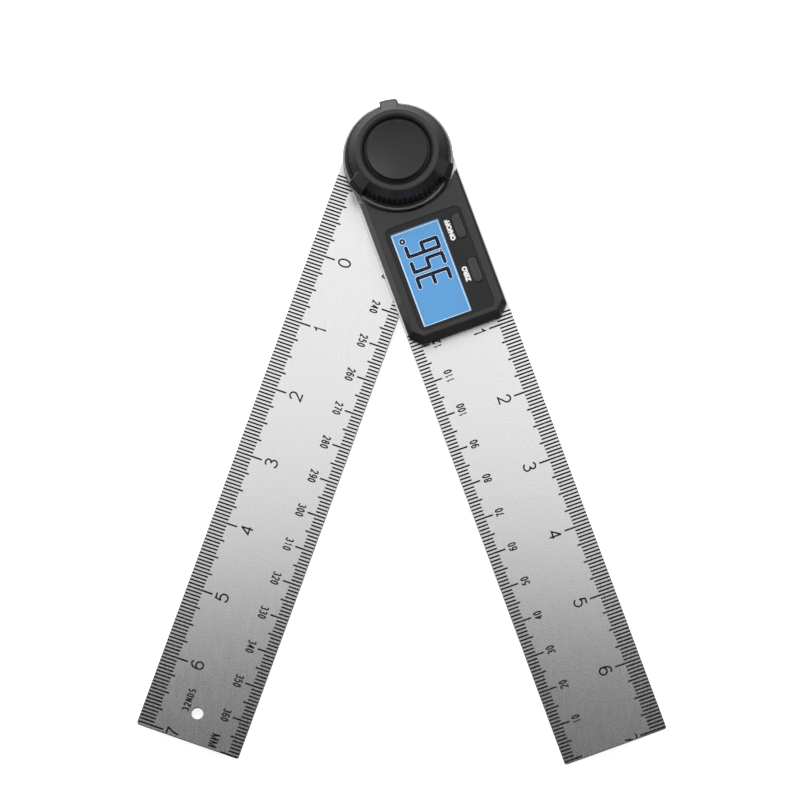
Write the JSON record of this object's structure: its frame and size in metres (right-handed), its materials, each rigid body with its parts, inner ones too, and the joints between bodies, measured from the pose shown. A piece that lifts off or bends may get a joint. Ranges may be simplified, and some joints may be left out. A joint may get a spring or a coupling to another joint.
{
  "type": "digital angle finder",
  "caption": "Two flat steel rule arms on one pivot, with a display housing on one arm and a knurled knob that locks the opening.",
  "frame": {"origin": "centre of the rear cap's flat bottom face, on the pivot axis", "axes": "+Z along the pivot axis, out of the display side; +Y away from the arms, along the line that halves the opening; +X towards the display arm"},
  "size_m": [0.1421, 0.1819, 0.0179],
  "materials": {
    "blade_steel": "satin, fine grain, with dark etched marks",
    "turned_steel": "turned",
    "brass": "turned",
    "housing_plastic": "fine moulded grain",
    "knob_plastic": "satin moulded",
    "button_rubber": "matte",
    "nylon": "smooth",
    "board": "lacquered board",
    "lcd_glass": "backlit blue with dark segments",
    "clear_lens": "clear acrylic",
    "diffuser": "milky",
    "strip_rubber": "matte",
    "chip": "moulded epoxy",
    "cable_film": "amber film"
  },
  "bodies": {
    "display_arm": {"display_blade": "blade_steel", "pivot_bush": "brass", "blade_washer": "nylon", "housing_base": "housing_plastic", "housing_cover": "housing_plastic", "display_lens": "clear_lens", "lcd_panel": "lcd_glass", "backlight_diffuser": "diffuser", "near_connector_strip": "strip_rubber", "far_connector_strip": "strip_rubber", "main_board": "board", "controller_chip": "chip", "on_off_switch": "turned_steel", "zero_switch": "turned_steel", "housing_screw_1": "turned_steel", "housing_screw_2": "turned_steel", "housing_screw_3": "turned_steel", "housing_screw_4": "turned_steel", "coin_cell": "turned_steel", "cell_leaf_contact": "brass", "cell_side_contact": "brass", "encoder_cable": "cable_film", "encoder_stator": "board"},
    "plain_arm": {"plain_blade": "blade_steel", "pivot_shaft": "turned_steel", "hub_rivet_1": "turned_steel", "hub_rivet_2": "turned_steel", "hub_rivet_3": "turned_steel", "hub_rivet_4": "turned_steel", "rear_cap": "knob_plastic", "encoder_rotor": "board", "wave_washer": "turned_steel", "dial_disc": "housing_plastic"},
    "knob_washer": {"thrust_washer": "brass"},
    "lock_knob": {"knob_body": "knob_plastic", "knob_insert": "brass", "knob_cap": "knob_plastic"},
    "on_off_button": {"on_off_button": "button_rubber"},
    "zero_button": {"zero_button": "button_rubber"},
    "battery_cover": {"battery_cover": "housing_plastic"}
  },
  "joints": [
    {"name": "arm_swing", "type": "hinge", "parent": "display_arm", "child": "plain_arm", "pos_m": [0, 0, 0.003], "axis": [0, 0, 1], "continuous": true},
    {"name": "knob_rise", "type": "slide", "parent": "plain_arm", "child": "knob_washer", "axis": [0, 0, 1], "range_m": [0, 0.00053]},
    {"name": "knob_turn", "type": "hinge", "parent": "knob_washer", "child": "lock_knob", "pos_m": [0, 0, 0.012], "axis": [0, 0, 1], "range_deg": [0, 270]},
    {"name": "on_off_press", "type": "slide", "parent": "display_arm", "child": "on_off_button", "axis": [0, 0, -1], "range_m": [0, 0.0004], "stiffness_N_per_m": 400},
    {"name": "zero_press", "type": "slide", "parent": "display_arm", "child": "zero_button", "axis": [0, 0, -1], "range_m": [0, 0.0004], "stiffness_N_per_m": 400},
    {"name": "battery_cover_turn", "type": "hinge", "parent": "display_arm", "child": "battery_cover", "pos_m": [0.01102, -0.03058, 0.0039], "axis": [0, 0, -1], "range_deg": [0, 50]}
  ],
  "couplings": [
    {"joint": "knob_rise", "follows": "knob_turn", "m_per_rad": 0.00011141}
  ]
}
